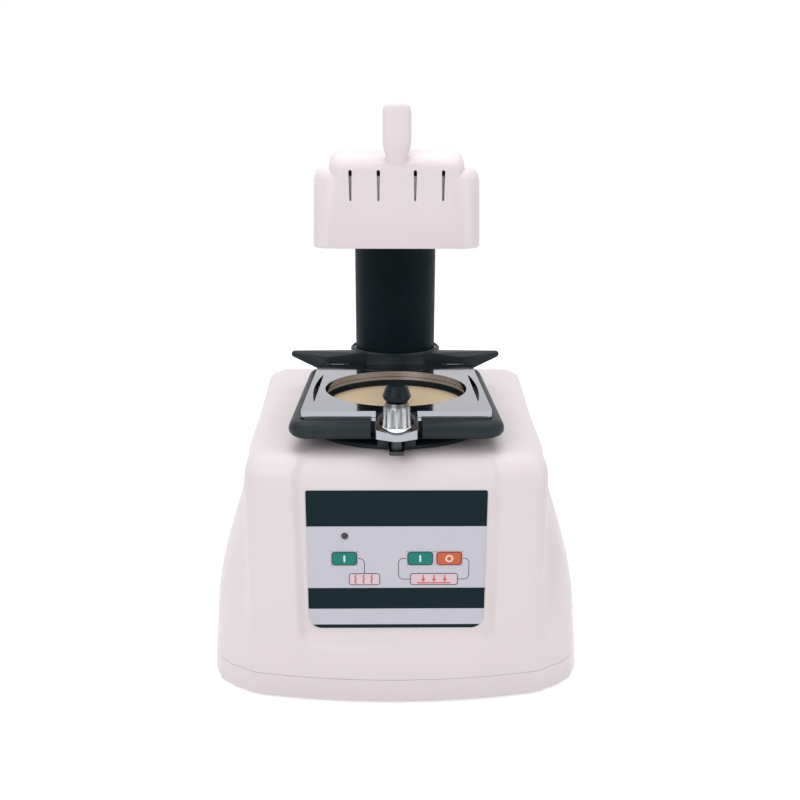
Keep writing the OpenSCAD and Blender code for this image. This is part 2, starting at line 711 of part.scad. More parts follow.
// Upper frame with its front pocket for the clamp and its rear knuckles
pocket_half = 15.2;
pocket_front = clamp_y - 14;
pocket_floor = frame_top - 9.8;
pocket_low = pocket_floor - 4.4;
pocket_slope = 18.5;
nut_r = 11.2;
rod_r = 4.2;
module pocket_outline(r) {
    hull() {
        translate([0, pocket_front + 9]) circle(r = r - 6);
        for (s = [-1, 1]) {
            translate([s * (r - 3), clamp_y - 6]) circle(r = 3);
            translate([s * (r - 1), frame_front_y + 1]) circle(r = 1);
        }
    }
}
slot_chord = 43;
slot_bulge = 3.4;
slot_out = frame_w / 2 - 4;
slot_end = 0.4;
module lens_slot(s, z, h) {
    translate([0, hole_y, z]) linear_extrude(h) polygon(concat(
        [for (k = [-1 : 0.125 : 1]) [s * (slot_out - slot_bulge * k * k), k * slot_chord]],
        [for (u = [1, -1]) [s * (slot_out - slot_bulge - slot_end), u * slot_chord]]
    ));
}
module upper_frame() color([0.75, 0.77, 0.8]) difference() {
    union() {
        translate([0, 0, upper_z]) linear_extrude(upper_t) plate_outline();
        translate([0, 0, upper_z]) linear_extrude(upper_t) pocket_outline(pocket_half);
        translate([0, 0, pocket_low]) linear_extrude(upper_z - pocket_low + 1) intersection() {
            pocket_outline(pocket_half);
            translate([-pocket_half, pocket_front - 1])
                square([2 * pocket_half, frame_front_y - run - pocket_front + 1]);
        }
        translate([0, clamp_y, pocket_low - 1.5]) cylinder(r = 8, h = 4);
        for (s = [-1, 1]) {
            translate([s * knuckle_x - knuckle_w / 2, hinge_y, hinge_z]) rotate([0, 90, 0])
                cylinder(r = hinge_r - run, h = knuckle_w);
            translate([s * knuckle_x - knuckle_w / 2, frame_rear_y - 3, upper_z])
                cube([knuckle_w, hinge_y - frame_rear_y + 3, upper_t - 0.6]);
        }
    }
    translate([-pocket_half - 1, frame_front_y - 1, frame_top]) rotate([pocket_slope, 0, 0])
        translate([0, -40, 0]) cube([2 * pocket_half + 2, 40, 20]);
    translate([0, hole_y, upper_z - 1]) cylinder(r = hole_r, h = upper_t + 2);
    translate([0, clamp_y, pocket_floor]) cylinder(r = nut_r + 0.9, h = 20);
    translate([0, clamp_y, pocket_low - 5]) cylinder(r = rod_r + pin_gap, h = 20);
    for (s = [-1, 1]) lens_slot(s, upper_z - 1, upper_t + 2);
    for (s = [-1, 1])
        translate([s * knuckle_x - knuckle_w / 2 - 1, hinge_y, hinge_z]) rotate([0, 90, 0])
            cylinder(r = hinge_pin_r + pin_gap, h = knuckle_w + 2);
}

// Clamp: a quarter turn puts its foot under the tray's ears
foot_top = tray_z - ear_drop - run;
foot_t = 3;
foot_w = 10.8;
tip_h = 1.6;
nut_z = pocket_floor + run;
nut_top = frame_top + 11;
cap_top = frame_top + 23.4;
module clamp_spindle() color([0.1, 0.1, 0.11]) translate([0, clamp_y, 0]) {
    translate([0, 0, foot_top - foot_t]) cylinder(r = rod_r, h = nut_top - foot_top + foot_t);
    translate([0, 0, foot_top - foot_t]) linear_extrude(foot_t) intersection() {
        square([foot_w, 2 * foot_half], center = true);
        circle(r = foot_half + 0.8);
    }
}
flute_count = 10;
module clamp_nut() color([0.75, 0.77, 0.8]) translate([0, clamp_y, 0]) difference() {
    translate([0, 0, nut_z]) rotate_extrude() polygon([
        [rod_r + pin_gap, 0], [nut_r, 0], [nut_r, 3], [nut_r - 0.8, 3.8], [nut_r - 1.6, nut_top - nut_z - 4],
        [nut_r - 3.6, nut_top - nut_z], [rod_r + pin_gap, nut_top - nut_z]
    ]);
    for (a = [0 : 360 / flute_count : 359])
        rotate(a) translate([nut_r + 1.3, 0, nut_z + 3.6]) cylinder(r = 3.4, h = nut_top - nut_z, $fn = 32);
}
module clamp_cap() color([0.06, 0.06, 0.06]) translate([0, clamp_y, nut_top]) rotate_extrude()
    polygon([
        [0, 0], [5.5, 0], [8.4, 1.6], [10.1, 4], [9.9, 5.2], [7.6, cap_top - nut_top - 0.8],
        [6.8, cap_top - nut_top], [0, cap_top - nut_top]
    ]);
tip_r = rod_r + 0.4;
dome_r = (tip_r * tip_r + tip_h * tip_h) / (2 * tip_h);
module clamp_tip() color([0.75, 0.77, 0.8]) translate([0, clamp_y, foot_top - foot_t - tip_h]) intersection() {
    translate([0, 0, dome_r]) sphere(r = dome_r);
    cylinder(r = tip_r, h = tip_h);
}

// Heater head
head_z = column_top + washer_t;
head_front = -125;
head_back = 10;
head_top = head_z + head_h;
arm_r = column_r + 9;
cover_t = 2.5;
handle_t = 13;
head_bow = 9;
block_half_w = head_w / 2 - 11;
block_bow = head_bow * pow(block_half_w / (head_w / 2), 2);
function head_ring(z, side, front = 0, spread = 0) =
    rounded_ring(
        head_w / 2 - side + spread, head_front + front, head_back - side, 13 - side * 0.6, z, head_bow
    );
module arm_solid(inset, z0, z1) {
    translate([0, 0, z0]) linear_extrude(z1 - z0) hull() {
        translate([0, column_y]) circle(r = arm_r - inset);
        translate([-arm_r + inset, head_back - 20]) square([2 * (arm_r - inset), 1]);
    }
}
// The handle grows out of the front of the raised block
module handle_skin() {
    skin([
        for (k = [[0, 0.66, 6], [4, 0.68, 4.6], [8, 0.76, 2.6], [12, 0.9, 1], [15, 0.97, 0.4],
            [19, 1, 0.3], [handle_h + 8, 0.99, 0.4], [handle_h + 11, 0.94, 0.7],
            [handle_h + 12.5, 0.84, 1.3], [handle_h + 13, 0.68, 2]])
            rounded_ring(
                handle_w / 2 * k[1], head_front + k[2],
                head_front + handle_t * (0.7 + k[1] * 0.3), handle_w * k[1] * 0.26,
                head_top + block_h - 13 + k[0], 0, 4
            )
    ]);
}
module cover_outer() {
    handle_skin();
    skin([
        head_ring(head_z, 1.2, 1.2, 1.4), head_ring(head_z + 1.5, 0, 0, 1.3), head_ring(head_top - 6, 0),
        head_ring(head_top - 3, 0.5, 1.2), head_ring(head_top, 1.6, 3.4), head_ring(head_top + 2, 3.6, 6.5),
        head_ring(head_top + 3, 7, 11)
    ]);
    skin([
        for (k = [[-8, 0, 1.5], [-2, 0, 0.5], [2, 0.2, 0.3], [5, 0.5, 1.5], [9, 1.2, 5], [12, 2.6, 9.5], [14, 4.8, 15],
            [block_h, 8, 21]])
            rounded_ring(
                block_half_w - k[1], head_front + k[2], head_back - 12 - k[1],
                8 - k[1] * 0.4, head_top + k[0], block_bow
            )
    ]);
    arm_solid(0, head_z, head_z + head_h - 14);
}
slot_xs = [-31.8, -12.6, 12.6, 31.8];
chassis_spots = [for (x = [-44, 44], y = [-46, 46]) [x, hole_y + y]];
module vent_slot(x) {
    translate([x, head_front + 26, 0]) rotate([90, 0, 0]) linear_extrude(30) hull() {
        translate([0, head_top - 0.5]) circle(r = 1.2);
        translate([0, head_top - 19]) circle(r = 0.7);
    }
}
module heater_cover() color([0.94, 0.92, 0.92]) {
    difference() {
        cover_outer();
        cover_cavity();
        arm_solid(cover_t, head_z - 1, head_z + head_h - 14 - cover_t);
        for (x = slot_xs) vent_slot(x);
    }
    for (p = chassis_spots) translate([p[0], p[1], chassis_z + chassis_t]) difference() {
        cylinder(r = 5, h = head_top + 3 - chassis_z - chassis_t);
        translate([0, 0, -1]) cylinder(r = screw_r + pin_gap, h = 15);
    }
}
module cover_cavity() {
    skin([
        for (k = [[-1, 0], [head_h - 4, 0], [head_h + 2.5, 8]])
            rounded_ring(
                head_w / 2 - cover_t - k[1], head_front + cover_t + 1 + k[1], head_back - cover_t - k[1], 11,
                head_z + k[0], 9
            )
    ]);
}
chassis_t = 2;
chassis_gap = 2.5;
chassis_z = head_z + 5;
heater_r = heater_d / 2;
module head_chassis() color([0.66, 0.67, 0.69]) {
    difference() {
        union() {
            translate([-head_w / 2 + cover_t + chassis_gap, head_front + 16, chassis_z])
                cube([head_w - 2 * (cover_t + chassis_gap), head_back - head_front - 26, chassis_t]);
            arm_solid(cover_t + 0.6, chassis_z, chassis_z + chassis_t);
            translate([-42, head_front + 16, chassis_z]) cube([84, chassis_t, head_h - 8]);
        }
        translate([0, hole_y, chassis_z - 1]) cylinder(r = heater_r, h = chassis_t + 2);
        translate([0, column_y, chassis_z - 1]) cylinder(r = 20, h = chassis_t + 2);
        for (p = chassis_spots) translate([p[0], p[1], chassis_z - 1])
            cylinder(r = screw_r + 0.2, h = chassis_t + 2);
    }
    translate([0, column_y, head_z]) difference() {
        cylinder(r = 26, h = 26);
        translate([0, 0, -1]) cylinder(r = spindle_r + pin_gap / 2, h = 28);
        translate([18.5, 0, -1]) cylinder(r = 4, h = 28);
    }
}
module swivel_spindle() color([0.7, 0.7, 0.72]) translate([0, column_y, column_top - plug_h - 6]) {
    cylinder(r = spindle_r, h = plug_h + 6 + washer_t + 26);
    translate([0, 0, plug_h + 6 + washer_t + 26]) cylinder(r = spindle_r + 5, h = 3);
}
module heat_reflector() color([0.78, 0.78, 0.8]) translate([0, hole_y, chassis_z + chassis_t]) rotate_extrude()
    polygon([
        [heater_r - 4, 0], [heater_r + 2, 0], [heater_r + 2, 1], [heater_r - 3, 1], [heater_r - 3, 24],
        [0, 24], [0, 23], [heater_r - 4, 23]
    ]);
plate_lift = 10;
module ceramic_plate() color([0.85, 0.82, 0.76]) translate([0, hole_y, chassis_z + chassis_t + plate_lift]) {
    difference() {
        cylinder(r = heater_r - 4.4, h = 6);
        for (r = [10 : 8 : heater_r - 10]) translate([0, 0, -1]) difference() {
            cylinder(r = r + 0.9, h = 2.6);
            translate([0, 0, -1]) cylinder(r = r - 0.9, h = 5);
        }
    }
    for (a = [45 : 90 : 315]) rotate(a) translate([38, 0, 6]) cylinder(r = 3, h = 7);
}
coil_turns = 3;
coil_wire = 4;
coil_steps = 24;
coil_in = 14;
coil_out = heater_r - 9;
function coil_ring(k) =
    let (
        a = k * 360 / coil_steps,
        r = mix(coil_in, coil_out, k / (coil_turns * coil_steps)),
        out = [cos(a), sin(a)]
    )
        [for (i = [0 : 5])
            let (e = r + coil_wire / 2 * cos(60 * i))
                [e * out[0], e * out[1], -coil_wire / 2 * sin(60 * i)]];
module heater_coil() color([0.5, 0.32, 0.2])
    translate([0, hole_y, chassis_z + chassis_t + plate_lift - coil_wire / 2 - run])
        skin([for (k = [0 : coil_turns * coil_steps]) coil_ring(k)]);
module terminal_block() color([0.9, 0.88, 0.82]) translate([-16, 16, chassis_z + chassis_t]) {
    cube([32, 12, 5]);
    for (i = [0 : 2]) translate([2 + i * 10, 2, 5]) cube([8, 8, 6]);
}
module chassis_screws() color([0.6, 0.6, 0.62])
    for (p = chassis_spots) translate([p[0], p[1], chassis_z - 2]) {
        cylinder(r = 3.6, h = 2);
        cylinder(r = screw_r, h = 2 + chassis_t + 12);
    }

bottom_tray();
rubber_feet();
base_screws();
housing_shell();
control_label();
heat_on_key();
vacuum_on_key();
vacuum_off_key();
indicator_led();
control_board();
power_board();
transformer();
vacuum_motor();
fan_housing();
motor_bracket();
suction_duct();
duct_gasket();
suction_base();
seal_ring();
forming_plate();
column_tube();
column_plug();
stop_ring();
power_inlet();
power_rocker();
switch_frame();
carriage_frame();
collar_bush();
lower_frame();
frame_screws();
hinge_pins();
upper_frame();
clamp_spindle();
clamp_nut();
clamp_cap();
clamp_tip();
heater_cover();
head_chassis();
swivel_spindle();
thrust_washer();
heat_reflector();
ceramic_plate();
heater_coil();
terminal_block();
chassis_screws();
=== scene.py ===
import json
import math
import bpy
import bmesh
from mathutils import Matrix, Vector


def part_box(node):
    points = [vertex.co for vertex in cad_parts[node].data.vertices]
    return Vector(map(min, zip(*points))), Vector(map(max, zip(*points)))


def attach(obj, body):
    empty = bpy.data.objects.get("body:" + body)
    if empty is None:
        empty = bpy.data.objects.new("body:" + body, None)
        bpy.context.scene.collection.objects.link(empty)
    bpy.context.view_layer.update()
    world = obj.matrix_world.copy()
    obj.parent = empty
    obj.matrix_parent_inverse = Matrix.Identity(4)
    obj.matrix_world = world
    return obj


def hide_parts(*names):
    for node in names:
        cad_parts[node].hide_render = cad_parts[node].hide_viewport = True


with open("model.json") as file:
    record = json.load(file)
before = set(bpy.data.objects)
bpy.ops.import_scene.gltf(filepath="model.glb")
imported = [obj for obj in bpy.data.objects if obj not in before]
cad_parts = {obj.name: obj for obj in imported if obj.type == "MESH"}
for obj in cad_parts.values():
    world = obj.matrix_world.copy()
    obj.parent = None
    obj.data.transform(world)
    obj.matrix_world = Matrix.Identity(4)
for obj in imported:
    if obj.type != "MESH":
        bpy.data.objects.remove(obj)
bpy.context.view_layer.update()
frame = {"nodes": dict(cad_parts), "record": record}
mm = 0.001
print("frame loaded:", len(frame["nodes"]), "nodes")

# the camera stands where the photograph was taken from
cameraSetup = {"place": (-4.1, -687.8, 388.5), "down": 15.21, "turn": -0.67, "roll": 0.15, "lens": 36.216}


def placeCamera():
    data = bpy.data.cameras.new("camera")
    data.lens = cameraSetup["lens"]
    data.sensor_width = 36
    data.clip_start = 0.01
    camera = bpy.data.objects.new("camera", data)
    camera.matrix_world = (
        Matrix.Translation(Vector(cameraSetup["place"]) * mm)
        @ Matrix.Rotation(math.radians(cameraSetup["turn"]), 4, "Z")
        @ Matrix.Rotation(math.radians(90 - cameraSetup["down"]), 4, "X")
        @ Matrix.Rotation(math.radians(cameraSetup["roll"]), 4, "Z")
    )
    bpy.context.scene.collection.objects.link(camera)
    bpy.context.scene.camera = camera


placeCamera()
bpy.context.scene.view_settings.view_transform = "Standard"
print("camera placed")


# wraps a socket, so that shader maths reads as plain sums
class Value:
    def __init__(self, maker, socket):
        self.maker = maker
        self.socket = socket

    def math(self, operation, a, b=0.0, clamp=False):
        return self.maker.node("ShaderNodeMath", {"operation": operation, "use_clamp": clamp}, {0: a, 1: b})

    def __add__(self, other):
        return self.math("ADD", self, other)

    def __radd__(self, other):
        return self.math("ADD", other, self)

    def __sub__(self, other):
        return self.math("SUBTRACT", self, other)

    def __rsub__(self, other):
        return self.math("SUBTRACT", other, self)

    def __mul__(self, other):
        return self.math("MULTIPLY", self, other)

    def __rmul__(self, other):
        return self.math("MULTIPLY", other, self)

    def __truediv__(self, other):
        return self.math("DIVIDE", self, other)

    def __gt__(self, other):
        return self.math("GREATER_THAN", self, other)

    def __lt__(self, other):
        return self.math("LESS_THAN", self, other)

    def root(self):
        return self.math("SQRT", self)

    def clamp(self):
        return self.math("ADD", self, 0.0, True)


# one material: a Principled shader with its even values set on its own sockets
class Finish:
    def __init__(self, name, color, rough, metal=0.0, **fixed):
        self.material = bpy.data.materials.new(name)
        self.material.use_nodes = True
        self.tree = self.material.node_tree
        self.shader = self.tree.nodes["Principled BSDF"]
        self.shader.inputs["Base Color"].default_value = (*color, 1)
        self.shader.inputs["Roughness"].default_value = rough
        self.shader.inputs["Metallic"].default_value = metal
        for key, value in fixed.items():
            self.shader.inputs[key.replace("_", " ")].default_value = value
        self.material.diffuse_color = (*color, 1)

    def node(self, kind, settings, sockets, out=0):
        made = self.tree.nodes.new(kind)
        for key, value in settings.items():
            setattr(made, key, value)
        for key, value in sockets.items():
            if isinstance(value, Value):
                self.tree.links.new(value.socket, made.inputs[key])
            else:
                made.inputs[key].default_value = value
        return Value(self, made.outputs[out])

    def coords(self):
        return self.node("ShaderNodeTexCoord", {}, {}, "Object")

    def axes(self):
        spread = self.tree.nodes.new("ShaderNodeSeparateXYZ")
        self.tree.links.new(self.coords().socket, spread.inputs[0])
        return [Value(self, spread.outputs[i]) for i in range(3)]

    def noise(self, scale, detail=2.0, roughness=0.5, vector=None):
        sockets = {"Vector": vector or self.coords(), "Scale": scale}
        sockets.update({"Detail": detail, "Roughness": roughness})
        return self.node("ShaderNodeTexNoise", {}, sockets, "Fac")

    def stretched(self, scale):
        return self.node("ShaderNodeMapping", {}, {"Vector": self.coords(), "Scale": scale})

    def mix(self, factor, a, b):
        return self.node("ShaderNodeMix", {"data_type": "RGBA"}, {0: factor, 6: a, 7: b}, 2)

    def feed(self, socket, value):
        self.tree.links.new(value.socket, self.shader.inputs[socket])

    def bump(self, height, distance, strength=1.0):
        sockets = {"Height": height, "Distance": distance, "Strength": strength}
        self.feed("Normal", self.node("ShaderNodeBump", {}, sockets))


def tone(*rgb):
    return (*rgb, 1)


def shade(color, amount):
    return tone(*(c * amount for c in color))


def mouldedPlastic(name, color, rough, grain=0.00006, cloudy=0.975, gloss=0.4):
    made = Finish(name, color, rough, Specular_IOR_Level=gloss)
    cloud = made.noise(9.0, 3.0)
    made.feed("Base Color", made.mix(cloud, shade(color, cloudy), tone(*color)))
    made.feed("Roughness", rough - 0.04 + made.noise(60.0, 2.0) * 0.09)
    made.bump(made.noise(1500.0, 2.0, 0.6), grain)
    return made.material


def powderCoat(name, base, high, rough, grain=0.0001, gloss=0.22):
    made = Finish(name, base, rough, Specular_IOR_Level=gloss)
    wear = (made.noise(35.0, 4.0, 0.6) - 0.45) * 2.2
    made.feed("Base Color", made.mix(wear.clamp(), tone(*base), tone(*high)))
    made.feed("Roughness", rough + (made.noise(120.0, 2.0) - 0.5) * 0.16)
    made.bump(made.noise(1100.0, 3.0, 0.65), grain)
    return made.material


def polishedMetal(name, color, rough, smear=0.05, grain=0.0):
    made = Finish(name, color, rough, 1.0)
    haze = made.noise(26.0, 4.0, 0.6)
    made.feed("Roughness", rough + (haze - 0.4).clamp() * smear * 2)
    made.feed("Base Color", made.mix(made.noise(14.0, 2.0), shade(color, 0.92), tone(*color)))
    if grain:
        made.bump(made.noise(400.0, 3.0, 0.6), grain)
    return made.material


# the fluted sleeve: painted shade darkens the base colour down in the flutes, where the roughness also rises
def flutedMetal(name, color, rough, centre, crest, groove):
    made = Finish(name, color, rough, 1.0)
    x, y, _ = made.axes()
    across, along = x - centre[0] * mm, y - centre[1] * mm
    radius = (across * across + along * along).root()
    clearOfGrooveShade = ((radius - groove * mm) / ((crest - groove) * mm)).clamp()
    # painted shade: down in the flutes the base colour falls to 0.16 of itself
    made.feed("Base Color", made.mix(clearOfGrooveShade, shade(color, 0.16), tone(*color)))
    made.feed("Roughness", rough + (1 - clearOfGrooveShade) * 0.2 + made.noise(90.0, 2.0) * 0.03)
    return made.material


def brushedMetal(name, color, rough):
    made = Finish(name, color, rough, 1.0)
    lines = made.noise(260.0, 3.0, 0.7, made.stretched((1, 1, 12)))
    made.feed("Roughness", rough + (lines - 0.5) * 0.18)
    made.feed("Base Color", made.mix(lines, shade(color, 0.85), tone(*color)))
    made.bump(lines, 0.00002)
    return made.material


# porous plate: fine grain with a field of small round holes, which dip in the bump and carry painted shade
# in the base colour
def porousPlate(name, light, dark):
    made = Finish(name, light, 0.5, 0.2, Specular_IOR_Level=0.3)
    grain = made.noise(900.0, 3.0, 0.7)
    patch = made.noise(22.0, 3.0, 0.5)
    cells = made.node(
        "ShaderNodeTexVoronoi", {"voronoi_dimensions": "2D", "feature": "F1"},
        {"Vector": made.coords(), "Scale": 520.0, "Randomness": 0.25}, "Distance",
    )
    # painted shade: the round holes darken the base colour, and the same mask dips them in the bump
    poreDipAndShade = (cells < 0.2) * 0.55
    tint = made.mix((grain * 0.4 + patch * 0.25 + poreDipAndShade).clamp(), tone(*light), tone(*dark))
    made.feed("Base Color", tint)
    made.feed("Roughness", 0.44 + grain * 0.16)
    made.bump(grain * 0.5 - poreDipAndShade, 0.00008)
    return made.material


# the panel's overlay: grey, with black bands between the given heights
def labelFilm(name, bands, black, grey):
    made = Finish(name, grey, 0.34, Specular_IOR_Level=0.06)
    z = made.axes()[2]
    mask = None
    for low, high in bands:
        band = (z > low * mm) * (z < high * mm)
        mask = band if mask is None else mask + band
    paper = made.mix(made.noise(70.0, 2.0), shade(grey, 0.96), tone(*grey))
    made.feed("Base Color", made.mix(mask.clamp(), paper, tone(*black)))
    made.feed("Roughness", 0.3 + made.noise(40.0, 3.0) * 0.08)
    made.bump(made.noise(700.0, 2.0), 0.00002)
    return made.material


def printedInk(name, color, rough=0.34, gloss=0.25):
    made = Finish(name, color, rough, Specular_IOR_Level=gloss)
    made.feed("Base Color", made.mix(made.noise(160.0, 2.0), shade(color, 0.88), tone(*color)))
    made.feed("Roughness", rough - 0.04 + made.noise(300.0, 2.0) * 0.1)
    made.bump(made.noise(900.0, 2.0), 0.00002)
    return made.material


def woundWire(name, light, dark):
    made = Finish(name, light, 0.55, 0.6)
    rings = made.node("ShaderNodeTexWave", {"wave_type": "BANDS", "bands_direction": "Z"},
                      {"Vector": made.coords(), "Scale": 420.0, "Distortion": 1.2})
    made.feed("Base Color", made.mix(rings, tone(*dark), tone(*light)))
    made.bump(rings, 0.0002)
    return made.material


# board green with copper runs under the lacquer
def circuitBoard(name, lacquer, copper):
    made = Finish(name, lacquer, 0.3)
    runs = made.node(
        "ShaderNodeTexBrick", {"offset": 0.5},
        {"Vector": made.coords(), "Scale": 60.0, "Mortar Size": 0.03, "Bias": 0.0}, "Fac",
    )
    made.feed("Base Color", made.mix(runs * 0.6, tone(*lacquer), tone(*copper)))
    made.feed("Roughness", 0.26 + made.noise(90.0, 2.0) * 0.1)
    return made.material


nutAxis = {"centre": (0.0, -139.5), "crest": 11.2, "groove": 8.6}
finish = {
    "shell": mouldedPlastic("offWhiteShell", (0.72, 0.648, 0.664), 0.4),
    "head": mouldedPlastic("offWhiteHead", (0.735, 0.656, 0.678), 0.42, 0.00008),
    "cast": powderCoat("blackCasting", (0.0105, 0.0175, 0.0215), (0.021, 0.03, 0.036), 0.46, 0.0001, 0.2),
    "column": powderCoat("columnCoat", (0.003, 0.0085, 0.0115), (0.006, 0.0135, 0.017), 0.5, 0.0001, 0.06),
    "suction": powderCoat("suctionCasting", (0.01, 0.014, 0.0165), (0.02, 0.025, 0.029), 0.4, 0.0001, 0.16),
    "chrome": polishedMetal("chromePlate", (0.33, 0.335, 0.375), 0.07),
    "sleeve": flutedMetal(
        "flutedChrome", (0.66, 0.68, 0.7), 0.08, nutAxis["centre"], nutAxis["crest"], nutAxis["groove"]
    ),
    "cap": powderCoat("blackCap", (0.004, 0.0085, 0.011), (0.008, 0.014, 0.017), 0.34, 0.00005, 0.12),
    "bright": polishedMetal("brightTip", (0.7, 0.72, 0.74), 0.12),
    "steel": brushedMetal("zincSteel", (0.56, 0.57, 0.6), 0.34),
    "reflector": polishedMetal("rolledReflector", (0.78, 0.78, 0.8), 0.16, 0.2, 0.00003),
    "plate": porousPlate("tanPlate", (0.97, 0.77, 0.53), (0.68, 0.49, 0.31)),
    "label": labelFilm(
        "labelFilm", [(145.1, 200), (78.2, 95.5), (0, 65.0)], (0.0065, 0.018, 0.0245), (0.56, 0.552, 0.625),
    ),
    "green": printedInk("greenKey", (0.004, 0.2, 0.165)),
    "orange": printedInk("orangeKey", (0.58, 0.125, 0.052)),
    "blush": printedInk("paleField", (0.72, 0.56, 0.62)),
    "red": printedInk("redSign", (0.58, 0.115, 0.085)),
    "line": printedInk("plumLine", (0.045, 0.028, 0.05)),
    "mark": printedInk("whitePrint", (0.74, 0.8, 0.78)),
    "cream": printedInk("creamPrint", (0.84, 0.7, 0.6)),
    "lens": mouldedPlastic("maroonLens", (0.055, 0.02, 0.03), 0.16, 0.00001),
    "rubber": powderCoat("blackRubber", (0.014, 0.014, 0.015), (0.03, 0.03, 0.031), 0.72, 0.00015),
    "moulding": powderCoat("blackMoulding", (0.007, 0.008, 0.009), (0.014, 0.015, 0.017), 0.3, 0.00005, 0.3),
    "rod": brushedMetal("oxidisedRod", (0.05, 0.052, 0.056), 0.3),
    "bearing": mouldedPlastic("bearingPlastic", (0.62, 0.6, 0.52), 0.5),
    "board": circuitBoard("circuitBoard", (0.012, 0.1, 0.04), (0.06, 0.24, 0.09)),
    "iron": powderCoat("laminatedIron", (0.1, 0.1, 0.11), (0.2, 0.2, 0.21), 0.45),
    "motor": brushedMetal("motorCan", (0.48, 0.49, 0.51), 0.36),
    "ceramic": mouldedPlastic("ceramicBoard", (0.68, 0.63, 0.53), 0.7, 0.0002, 0.85),
    "wire": woundWire("heaterWire", (0.3, 0.17, 0.1), (0.1, 0.06, 0.045)),
}
print("finishes made:", len(finish))


def newPiece(name, bm, material, body):
    mesh = bpy.data.meshes.new(name)
    bm.to_mesh(mesh)
    bm.free()
    piece = bpy.data.objects.new(name, mesh)
    bpy.context.scene.collection.objects.link(piece)
    mesh.materials.append(material)
    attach(piece, body)
    return piece


def bodyOf(node):
    for body, members in frame["record"]["behaviour"]["bodies"].items():
        if node in members:
            return body


def smoothEdges(bm, sharp):
    for face in bm.faces:
        face.smooth = True
    for edge in bm.edges:
        if len(edge.link_faces) == 2:
            edge.smooth = edge.calc_face_angle(0) < math.radians(sharp)


def softenEdges(piece, width, sharp):
    bevel = piece.modifiers.new("softEdge", "BEVEL")
    bevel.width = width * mm
    bevel.segments = 2
    bevel.limit_method = "ANGLE"
    bevel.angle_limit = math.radians(sharp)
    bevel.use_clamp_overlap = True
    bevel.harden_normals = True


# points closer than this are one, and faces within this angle lie in one plane
merge = {"near": 0.004, "flat": 0.4}


# a copy of a CAD node with its corners merged and flat faces joined, then a small round on its hard edges
def refined(node, material, width, sharp):
    bm = bmesh.new()
    bm.from_mesh(frame["nodes"][node].data)
    bmesh.ops.remove_doubles(bm, verts=bm.verts, dist=merge["near"] * mm)
    bmesh.ops.dissolve_limit(
        bm, angle_limit=math.radians(merge["flat"]), verts=bm.verts, edges=bm.edges, delimit={"NORMAL"}
    )
    smoothEdges(bm, sharp)
    piece = newPiece(node + "Shown", bm, material, bodyOf(node))
    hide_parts(node)
    if width:
        softenEdges(piece, width, sharp)


# finish, width of the rounded edge, and the angle from which an edge counts as hard
carried = {
    "housing_shell": ("shell", 0, 40), "bottom_tray": ("shell", 0, 40), "heater_cover": ("head", 0, 42),
    "carriage_frame": ("cast", 0.5, 35), "column_tube": ("column", 0.8, 35),
    "column_plug": ("moulding", 0.4, 35), "suction_base": ("suction", 0.5, 30),
    "seal_ring": ("rubber", 0, 40), "forming_plate": ("plate", 0.15, 35),
    "stop_ring": ("suction", 0.6, 30), "collar_bush": ("bearing", 0.3, 35),
    "lower_frame": ("chrome", 0.4, 35), "upper_frame": ("chrome", 0.6, 35),
    "clamp_nut": ("sleeve", 0.25, 35), "clamp_cap": ("cap", 0.6, 30), "clamp_spindle": ("rod", 0.3, 35),
    "clamp_tip": ("bright", 0.2, 40), "hinge_pins": ("steel", 0.3, 35),
    "frame_screws": ("steel", 0.2, 35), "rubber_feet": ("rubber", 0.3, 35),
    "base_screws": ("steel", 0.3, 35), "power_inlet": ("moulding", 0.35, 35),
    "switch_frame": ("moulding", 0.35, 35), "power_rocker": ("moulding", 0.6, 20),
    "control_label": ("label", 0.12, 35), "indicator_led": ("lens", 0, 40),
    "head_chassis": ("steel", 0.3, 35), "swivel_spindle": ("steel", 0.5, 35),
    "thrust_washer": ("bearing", 0.2, 35), "heat_reflector": ("reflector", 0.25, 35),
    "ceramic_plate": ("ceramic", 0.3, 35), "heater_coil": ("wire", 0, 40),
    "terminal_block": ("ceramic", 0.4, 35), "chassis_screws": ("steel", 0.3, 35),
    "control_board": ("board", 0.2, 35), "power_board": ("board", 0.3, 35),
    "transformer": ("iron", 0.5, 35), "vacuum_motor": ("motor", 0.8, 35),
    "fan_housing": ("motor", 0.8, 35), "motor_bracket": ("steel", 0.4, 35),
    "suction_duct": ("moulding", 0.3, 35), "duct_gasket": ("rubber", 0.3, 35),
}
for node, (kind, width, sharp) in carried.items():
    refined(node, finish[kind], width, sharp)
print("carried pieces:", len(carried))


# a rounded rectangle, face up, drawn about the origin in X and Y
def flatShape(width, height, corner, segments=5):
    bm = bmesh.new()
    bmesh.ops.create_grid(bm, x_segments=1, y_segments=1, size=0.5)
    bmesh.ops.scale(bm, vec=(width * mm, height * mm, 1), verts=bm.verts)
    if corner:
        bmesh.ops.bevel(
            bm, geom=bm.verts[:], offset=corner * mm, segments=segments, profile=0.5,
            affect="VERTICES", material=-1,
        )
    return bm


# keeps only a line of even width along the edge of a flat shape
def outlined(bm, line):
    inside = bm.faces[:]
    bmesh.ops.inset_individual(bm, faces=inside, thickness=line * mm, use_even_offset=True)
    bmesh.ops.delete(bm, geom=inside, context="FACES_ONLY")
    return bm


def shifted(bm, x, y):
    bmesh.ops.translate(bm, vec=(x * mm, y * mm, 0), verts=bm.verts)
    return bm


def joined(parts):
    whole = bmesh.new()
    for part in parts:
        mesh = bpy.data.meshes.new("part")
        part.to_mesh(mesh)
        part.free()
        whole.from_mesh(mesh)
        bpy.data.meshes.remove(mesh)
    return whole


def ringMark(radius, line):
    bm = bmesh.new()
    bmesh.ops.create_circle(bm, segments=40, radius=radius * mm, cap_ends=True)
    return outlined(bm, line)


